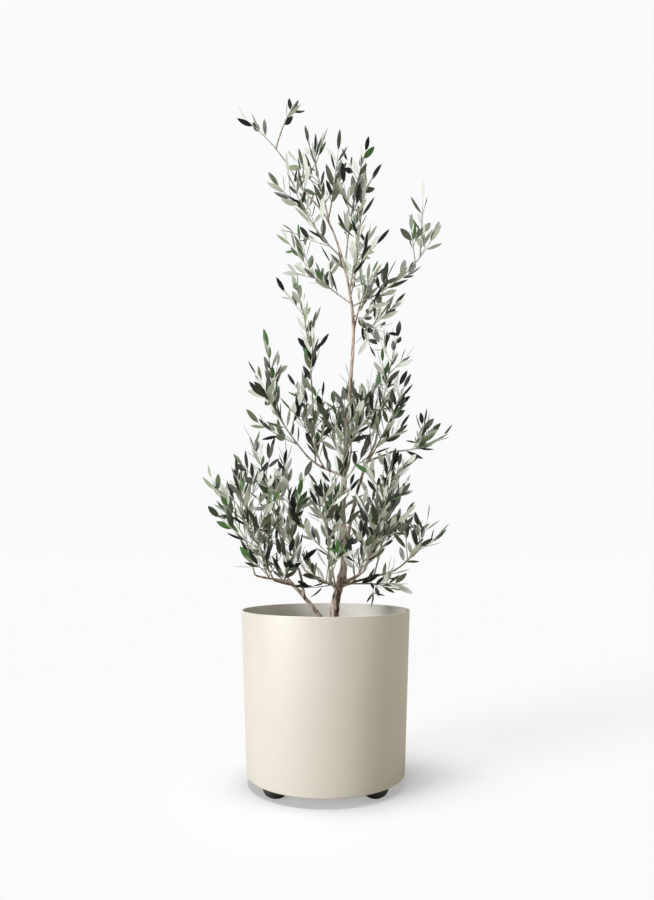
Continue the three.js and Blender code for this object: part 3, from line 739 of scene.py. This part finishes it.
LEAF_LENGTH = 59
LEAF_WIDTH = 11.2
LEAF_THICKNESS = 0.5
LEAF_SIZES = (0.68, 0.42)
LEAF_WIDTHS = (0.65, 0.7)
LEAF_TAPER = 0.22  # how much smaller the leaves are at a twig's tip
LEAF_SPREAD = 36  # degrees between a leaf and its twig
LEAF_SCATTER = 36  # degrees by which chance turns a leaf round its twig and tilts it
LEAF_TWIST = 210  # degrees by which chance turns it about its own midrib
LEAF_LIFT = 0.25  # its pull upwards
LEAF_BEND = 0.3
BEND_BELOW = 0.55  # share of that bend that goes down
PAIR_OFFSET = 0.6  # how far along its gap a pair stands
LAST_ROOT = 0.985  # no leaf's root is nearer its twig's tip
LEAF_GAP = 23.5
TWIGLET_LEAF_GAP = 18
TWIGLET_LEAF_SIZE = 0.85
TIP_LEAF_SIZE = 0.8
TIP_LEAF_SPREAD = 8
LEAF_SHED = 0.38  # share of the leaves lost near a twig's foot, falling to none at its tip
LEAF_TESTS = (0.4, 0.7, 1)  # places on a leaf that have to be clear of other growth
# How far apart growth is noted along a limb, a mass's stem and a shoot or twiglet.
LIMB_TEST_GAP = 6
STEM_TEST_GAP = 8
SHOOT_TEST_GAP = 7

# Each mass: its parent, where it leaves it, (azimuth, reach, rise, arch), the bare share of its
# stem, how many side shoots it has, their length, and how far it reaches from its stem.
MASSES = [
    ("leaves_leader", "trunk", 1, (180, 106, 140, -0.2), 0.66, 0, 50, 74),
    ("leaves_top", "trunk", 0.88, (146, 54, 190, -0.1), 0.16, 3, 80, 80),
    ("leaves_top_right", "trunk", 0.775, (326, 48, 238, -0.3), 0.12, 4, 78, 80),
    ("leaves_upper_left", "trunk", 0.8, (202, 122, 146, 0.3), 0.12, 5, 94, 84),
    ("leaves_upper_left_low", "trunk", 0.705, (150, 168, 172, 0.15), 0.12, 5, 70, 80),
    ("leaves_upper_right", "trunk", 0.7, (356, 182, 140, 0.35), 0.1, 3, 50, 74),
    ("leaves_upper_front", "trunk", 0.73, (284, 112, 165, 0.2), 0.12, 3, 80, 84),
    ("leaves_upper_back", "trunk", 0.72, (78, 126, 180, 0.2), 0.14, 4, 90, 88),
    ("leaves_right_droop", "trunk", 0.686, (345, 60, -44, -0.2), 0.1, 4, 58, 74),
    ("leaves_left_spire", "bough_left_high", 0.72, (140, 52, 412, -0.5), 0.08, 4, 56, 80),
    ("leaves_left_wing", "bough_left_high", 1, (210, 120, 154, 0.15), 0.12, 5, 80, 80),
    ("leaves_left_upper", "bough_left_high", 0.45, (215, 62, 110, 0.2), 0.12, 6, 84, 88),
    ("leaves_middle_left", "trunk", 0.42, (136, 84, 150, 0.1), 0.15, 6, 85, 88),
    ("leaves_middle", "trunk", 0.36, (270, 110, 175, 0.1), 0.15, 6, 90, 90),
    ("leaves_middle_back", "bough_back_high", 1, (88, 92, 170, 0.2), 0.1, 5, 100, 92),
    ("leaves_middle_right", "trunk", 0.44, (48, 88, 165, 0.2), 0.15, 5, 80, 84),
    ("leaves_right_spire", "stem_right", 1, (25, 56, 240, -0.1), 0.08, 6, 75, 78),
    ("leaves_right_wing", "stem_right", 0.74, (326, 92, 150, 0.1), 0.12, 6, 80, 80),
    ("leaves_right_hook", "bough_right_high", 1, (356, 82, 34, 0.9), 0.08, 5, 72, 78),
    ("leaves_right_inner", "bough_right_inner", 1, (350, 62, 230, 0.1), 0.08, 6, 92, 88),
    ("leaves_right_outer", "bough_right_low", 1, (4, 86, 100, 0.5), 0.42, 4, 74, 84),
    ("leaves_right_middle", "bough_right_low", 0.72, (20, 60, 240, 0.1), 0.28, 7, 90, 88),
    ("leaves_right_foot", "bough_right_low", 0.22, (332, 118, 2, 0.1), 0.12, 4, 52, 72),
    ("leaves_front_right", "bough_front_right", 1, (305, 80, 200, 0.2), 0.08, 6, 95, 92),
    ("leaves_front", "bough_front_low", 1, (258, 108, 175, 0.2), 0.08, 7, 95, 92),
    ("leaves_back_right", "bough_back_right", 1, (48, 100, 205, 0.3), 0.08, 4, 100, 96),
    ("leaves_back", "bough_back_low", 1, (94, 100, 205, 0.3), 0.08, 5, 100, 96),
    ("leaves_back_left", "bough_back_left", 1, (136, 112, 200, 0.3), 0.08, 5, 100, 96),
    ("leaves_left_inner", "bough_left_inner", 1, (150, 22, 235, 0), 0.08, 7, 92, 88),
    ("leaves_left_middle", "stem_left", 1, (152, 92, 310, -0.2), 0.1, 8, 95, 90),
    ("leaves_left_front", "bough_left_front", 1, (222, 92, 200, 0.2), 0.08, 7, 95, 92),
    ("leaves_left_outer", "bough_left_low", 1, (182, 40, 212, 0.25), 0.08, 6, 66, 92),
    ("leaves_left_low", "bough_left_low", 0.5, (262, 62, 34, 0.3), 0.1, 6, 66, 76),
    ("leaves_left_foot", "bough_left_front", 0.5, (285, 62, 46, 0.3), 0.1, 4, 66, 76),
    ("leaves_right_low", "bough_right_low", 0.28, (290, 66, 50, 0.3), 0.1, 5, 66, 76),
    ("leaves_front_low", "bough_front_low", 0.5, (222, 70, 28, 0.2), 0.1, 4, 62, 76),
    ("leaves_front_middle", "trunk", 0.27, (246, 84, 150, 0.2), 0.12, 4, 80, 84),
    ("leaves_upper_inner", "trunk", 0.648, (35, 44, 132, -0.2), 0.12, 2, 56, 70),
]

# A second stem of a mass: where it leaves the first, its way and its bare share.
FORKS = {
    "leaves_leader": (0.6, (8, 36, 95, -0.2), 0.4),
    "leaves_top": (0.05, (340, 22, 130, 0.2), 0.2),
    "leaves_upper_right": (0.85, (10, 6, 108, 0.2), 0.1),
    "leaves_right_droop": (0.8, (10, 26, 78, 0.5), 0.1),
    "leaves_left_wing": (0.5, (176, 34, 150, 0.3), 0.15),
    "leaves_left_outer": (0.68, (184, 62, 72, 0.3), 0.35),
}

lowest = Vector(cad_box[0])
highest = Vector(cad_box[1])
CELL = 14  # size of the cubes that the growth is sorted into
occupied = {}


def cell_of(spot):
    """The cube that a spot lies in."""
    return tuple(int(c // CELL) for c in spot)


def occupy(spots, radius, owner):
    """Notes that growth of a radius takes up the spots."""
    for spot in spots:
        occupied.setdefault(cell_of(spot), []).append((spot, radius, owner))


def is_clear(spots, radius, owners):
    """Whether the spots keep away from all growth but their owners'."""
    for spot in spots:
        x, y, z = cell_of(spot)
        for i in (x - 1, x, x + 1):
            for j in (y - 1, y, y + 1):
                for k in (z - 1, z, z + 1):
                    for other, size, owner in occupied.get((i, j, k), ()):
                        if owner not in owners and (other - spot).length < radius + size:
                            return False
    return True


def along_path(path, gap):
    """Spots on a path, a gap apart."""
    count = max(2, int(path_length(path) / gap))
    return [path(i / count) for i in range(count + 1)]


def turned_about(vector, axis, angle):
    """A vector turned about an axis."""
    return Matrix.Rotation(angle, 3, axis) @ vector


def side_shoot(stem, at, around):
    """Where a shoot leaves its stem, and its way: outwards, onwards and up towards the light."""
    base = stem(at)
    along = heading(stem, at)
    level = Vector((0.2, 1, 0.1)).cross(along).normalized()
    radial = turned_about(level, along, around)
    onwards, outwards, upwards = SHOOT_WAY
    return base, (along * onwards + radial * outwards + UP * upwards).normalized()


def straight(base, way, length, bow=0.0):
    """A nearly straight path, bowed up by a share of its length."""
    end = base + way * length
    lift = (UP - way * way.z) * (bow * length)
    middle = (base + end) / 2 - lift
    return lambda t: base * (1 - t) ** 2 + middle * (2 * t * (1 - t)) + end * t**2


def end_to_end(first, second, share):
    """Two paths as one: the first fills a share of it."""
    return lambda t: first(t / share) if t < share else second((t - share) / (1 - share))


def leaf_places(path, bare, gap, spread, draw):
    """The leaf places on a twig, in pairs and with one at its tip.

    Each is its root, its way, its way across, its size, whether it is the tip's, and its share of
    the twig.
    """
    phase = draw() * 2 * math.pi
    length = path_length(path)
    pairs = max(1, round(length * (1 - bare) / gap))
    places = []
    for pair in range(pairs + 1):
        t = bare + (1 - bare) * (pair + PAIR_OFFSET) / (pairs + PAIR_OFFSET)
        at_tip = pair == pairs
        twig_way = heading(path, t)
        side = Vector((0.2, 1, 0.1)).cross(twig_way).normalized()
        for k in range(1 if at_tip else 2):
            around = math.radians(90 * pair + 180 * k + LEAF_SCATTER * (draw() - 0.5)) + phase
            radial = turned_about(side, twig_way, around)
            lean = TIP_LEAF_SPREAD if at_tip else spread + LEAF_SCATTER * (draw() - 0.5)
            lean = math.radians(lean)
            way = twig_way * math.cos(lean) + radial * math.sin(lean) + UP * LEAF_LIFT
            way.normalize()
            across = twig_way.cross(radial)
            across = (across - way * across.dot(way)).normalized()
            across = turned_about(across, way, math.radians(LEAF_TWIST * (draw() - 0.5)))
            size = (TIP_LEAF_SIZE if at_tip else 1 - LEAF_TAPER * t) * varied(LEAF_SIZES, draw())
            places.append((path(min(t, LAST_ROOT)), way, across, size, at_tip, t))
    return places


def in_box(spot):
    """Whether a spot lies in the box of the whole plant."""
    real = spot * MILLIMETRE + foot_of_plant
    return all(lowest[i] <= real[i] <= highest[i] for i in range(3))


def distance_to(stems, spot):
    """How far a spot is from the nearest of a mass's stems."""
    return min((stem(i / 8) - spot).length for stem in stems for i in range(9))


# The rows of one leaf: (share of its length, share of its half width).
BLADE_ROWS = ((0.09, 0.1), (0.26, 0.72), (0.47, 1), (0.68, 0.9), (0.87, 0.5))
BLADE_FOLD = 0.07  # how far the blade's edges lie below its midrib, as a share of its width
UPPER, UNDER = 0, 1


def leaf_shape():
    """The shares of length, half width and thickness of a leaf's points, and its faces."""
    spots = [(0, 0, 0)]
    for share, width in BLADE_ROWS:
        spots += [(share, -width, 0), (share, 0, 1), (share, width, 0), (share, 0, -1)]
    spots.append((1, 0, 0))
    last = len(spots) - 1
    shape = []
    for a, b, side in ((0, 1, UPPER), (1, 2, UPPER), (2, 3, UNDER), (3, 0, UNDER)):
        shape.append(((0, 1 + b, 1 + a), side))
        for row in range(len(BLADE_ROWS) - 1):
            near = 1 + 4 * row
            shape.append(((near + a, near + b, near + 4 + b, near + 4 + a), side))
        shape.append(((last - 4 + a, last - 4 + b, last), side))
    return np.array(spots), shape


leaf_spots, leaf_faces = leaf_shape()
leaf_points = []
leaf_lists = []
leaf_numbers = []

UPPER_TONES = 4
DEEP_WITH_PAINTED_SHADE, GREY, SAGE, FRESH = range(UPPER_TONES)
# The upper and under tones that the leaves of one spray may take. The deepest upper tone has
# painted shade in it, and under tone 3 is an underside in painted shade.
SPRAY_TONES = (
    ((DEEP_WITH_PAINTED_SHADE, 1), (DEEP_WITH_PAINTED_SHADE, 0), (GREY, 1)),
    ((GREY, 0), (DEEP_WITH_PAINTED_SHADE, 3), (SAGE, 0)),
    ((SAGE, 0), (GREY, 2), (DEEP_WITH_PAINTED_SHADE, 3)),
    ((FRESH, 2), (SAGE, 0), (DEEP_WITH_PAINTED_SHADE, 0)),
    ((GREY, 3), (FRESH, 0), (DEEP_WITH_PAINTED_SHADE, 0)),
)


def add_leaf(root, way, across, length, width, bend, tones):
    """Adds one leaf to the arrays, in the tones of its spray."""
    first = len(leaf_points) * len(leaf_spots)
    face = way.cross(across)
    s = leaf_spots[:, 0:1]
    w = leaf_spots[:, 1:2]
    h = leaf_spots[:, 2:3]
    drop = -BLADE_FOLD * width * np.abs(w) + h * LEAF_THICKNESS / 2 + bend * length * s**2
    blade = np.array(way) * s * length + np.array(across) * w * width / 2 + np.array(face) * drop
    leaf_points.append((np.array(root) + blade) * MILLIMETRE + np.array(foot_of_plant))
    for corners, side in leaf_faces:
        leaf_lists.append(tuple(first + c for c in corners))
        leaf_numbers.append(tones[side])


twig_points = []
twig_faces = []
twig_numbers = []
STEM_WOOD, SHOOT_SKIN = 0, 1


def add_twig(path, radii_pair, skin, sides, steps):
    """Adds one twig to the arrays, tapered from the first radius to the second."""
    thick, thin = radii_pair
    before = len(twig_faces)
    tube(path, lambda t, turn: thick + (thin - thick) * t, sides, steps, twig_points, twig_faces)
    twig_numbers.extend([skin] * (len(twig_faces) - before))


for name, path in paths.items():
    for i, spot in enumerate(along_path(path, LIMB_TEST_GAP)):
        share = min(1, i * LIMB_TEST_GAP / path_length(path))
        occupy([spot], radii[name](share, 0), name)

plans = []
for name, parent, at, way, bare, *_ in MASSES:
    stem = growth(paths[parent](at), *way)
    stems = [(stem, bare)]
    if name in FORKS:
        fork_at, fork_way, fork_bare = FORKS[name]
        stems.append((growth(stem(fork_at), *fork_way), fork_bare))
    plans.append(stems)
    for path, _ in stems:
        occupy(along_path(path, STEM_TEST_GAP), STEM_RADII[1], name)

for index, (name, parent, *_, shoots, shoot_length, room) in enumerate(MASSES):
    stems = plans[index]
    draw = seeded(SHOOT_SEED + SEED_STEP * index)
    fine = seeded(FINE_SEED + SEED_STEP * index)
    stem_paths = [path for path, _ in stems]
    twigs = []
    for path, stem_bare in stems:
        tip = straight(path(1), heading(path, 1), TIP_GROWTH)
        add_twig(path, STEM_RADII, STEM_WOOD, sides=6, steps=14)
        add_twig(tip, (STEM_RADII[1], STEM_TIP_RADIUS), SHOOT_SKIN, sides=6, steps=2)
        twigs.append((end_to_end(path, tip, STEM_SHARE), stem_bare))
    for k in range(shoots):
        share = SHOOTS_FROM + SHOOTS_ALONG * (k + 0.5) / shoots
        taper = SHOOT_TAPER[0] - SHOOT_TAPER[1] * share
        length = shoot_length * taper * varied(SHOOT_LENGTHS, draw())
        base, shoot_way = side_shoot(stem_paths[0], share, math.radians(GOLDEN_TURN * k) + index)
        end = base + shoot_way * length
        leaf_tip = end + shoot_way * (TIP_GROWTH + TIP_LEAF_SIZE * LEAF_LENGTH)
        has_room = distance_to(stem_paths, leaf_tip) < room and in_box(leaf_tip)
        run = length + (TIP_GROWTH if has_room else 0)
        path = straight(base, shoot_way, run, SHOOT_BOW * (2 * fine() - BOW_BELOW))
        spots = along_path(path, SHOOT_TEST_GAP)
        if distance_to(stem_paths, end) > room:
            continue
        if not is_clear(spots[2:], SHOOT_ROOM, {name, parent}):
            continue
        occupy(spots[1:], TWIG_RADIUS, name)
        add_twig(path, SHOOT_RADII, SHOOT_SKIN, sides=5, steps=7)
        twigs.append((path, SHOOT_BARE))
    twiglets = []
    for path, twig_bare in twigs:
        places = leaf_places(path, twig_bare, TWIGLET_GAP, TWIGLET_SPREAD, fine)
        for root, twiglet_way, _, size, at_tip, _ in places:
            if at_tip or fine() > TWIGLET_SHARE:
                continue
            twiglet = straight(root, twiglet_way, TWIGLET_LENGTH * size, TWIGLET_BOW)
            spots = along_path(twiglet, SHOOT_TEST_GAP)
            if distance_to(stem_paths, spots[-1]) > room:
                continue
            if not is_clear(spots[2:], TWIGLET_ROOM, set()):
                continue
            occupy(spots[1:], TWIG_RADIUS, name)
            add_twig(twiglet, TWIGLET_RADII, SHOOT_SKIN, sides=4, steps=3)
            twiglets.append((twiglet, TWIGLET_BARE))
    for number, (path, twig_bare) in enumerate(twigs + twiglets):
        on_twiglet = number >= len(twigs)
        scale = TWIGLET_LEAF_SIZE if on_twiglet else 1
        gap = TWIGLET_LEAF_GAP if on_twiglet else LEAF_GAP
        spray_tones = SPRAY_TONES[int(fine() * len(SPRAY_TONES))]
        places = leaf_places(path, twig_bare, gap, LEAF_SPREAD, fine)
        for root, leaf_way, across, size, _, share in places:
            length = LEAF_LENGTH * size * scale
            width = LEAF_WIDTH * varied(LEAF_WIDTHS, fine()) * scale
            bend = LEAF_BEND * (fine() - BEND_BELOW)
            if fine() < LEAF_SHED * (1 - share):
                continue
            face = leaf_way.cross(across)
            spots = [
                root + leaf_way * (test * length) + face * (bend * length * test * test)
                for test in LEAF_TESTS
            ]
            if distance_to(stem_paths, spots[-1]) > room or not in_box(spots[-1]):
                continue
            if not is_clear(spots, LEAF_ROOM, set()):
                continue
            occupy(spots, LEAF_ROOM, (index, number))
            upper, under = spray_tones[int(fine() * len(spray_tones))]
            add_leaf(root, leaf_way, across, length, width, bend, (upper, UPPER_TONES + under))

twig_bark = new_finish("twig_bark", 0.8, 0.3)
tint(
    twig_bark,
    mottle(twig_bark, 160, detail=6),
    [(0.35, (0.23, 0.19, 0.15)), (0.65, (0.5, 0.45, 0.375))],
)
relief(twig_bark, mottle(twig_bark, 700, detail=4), 0.0005)
shoot_skin = new_finish("shoot_skin", 0.7, 0.3)
tint(
    shoot_skin,
    mottle(shoot_skin, 120, detail=5),
    [(0.35, (0.38, 0.37, 0.3)), (0.65, (0.6, 0.595, 0.5))],
)
twigs_piece = mesh_piece("twigs", twig_points, twig_faces, (twig_bark, shoot_skin), twig_numbers)
twigs_piece.data.polygons.foreach_set("use_smooth", [True] * len(twig_faces))
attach(twigs_piece, "root")
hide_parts(*(mass[0] for mass in MASSES))

# The upper side of a leaf is waxy and darker, and its underside is felted with silver scales. Two
# tones
# carry painted shade: the deepest upper one is darker than a waxy leaf, and the darkest under one
# is an underside darkened as if it lay in shade.
LEAF_TONES = (
    # the waxy upper side's own dark green, darkened further with painted shade: near-black even
    # where lit
    ("leaf_upper_deep_with_painted_shade", (0.008, 0.0125, 0.009), 0.4),
    ("leaf_upper_grey", (0.042, 0.056, 0.034), 0.4),
    ("leaf_upper_sage", (0.1, 0.134, 0.077), 0.45),
    ("leaf_upper_fresh", (0.055, 0.13, 0.032), 0.4),
    ("leaf_under_silver", (0.62, 0.66, 0.575), 0.75),
    ("leaf_under_grey", (0.43, 0.455, 0.4), 0.75),
    ("leaf_under_sage", (0.285, 0.35, 0.23), 0.75),
    # painted shade: a dark underside tone that stands in for silver undersides lying in shade
    ("leaf_under_painted_shade", (0.12, 0.125, 0.1), 0.75),
)
leaf_finishes = []
for name, colour, roughness in LEAF_TONES:
    tone = new_finish(name, roughness, 0.3)
    tone.node_tree.nodes["Principled BSDF"].inputs["Base Color"].default_value = (*colour, 1)
    leaf_finishes.append(tone)
leaf_points = np.concatenate(leaf_points).tolist()
leaves = mesh_piece("leaves", leaf_points, leaf_lists, leaf_finishes, leaf_numbers)
bpy.ops.object.select_all(action="DESELECT")
leaves.select_set(True)
bpy.context.view_layer.objects.active = leaves
bpy.ops.object.shade_smooth_by_angle(angle=SMOOTH_UNDER)
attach(leaves, "root")
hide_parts(*(mass[0] for mass in MASSES))
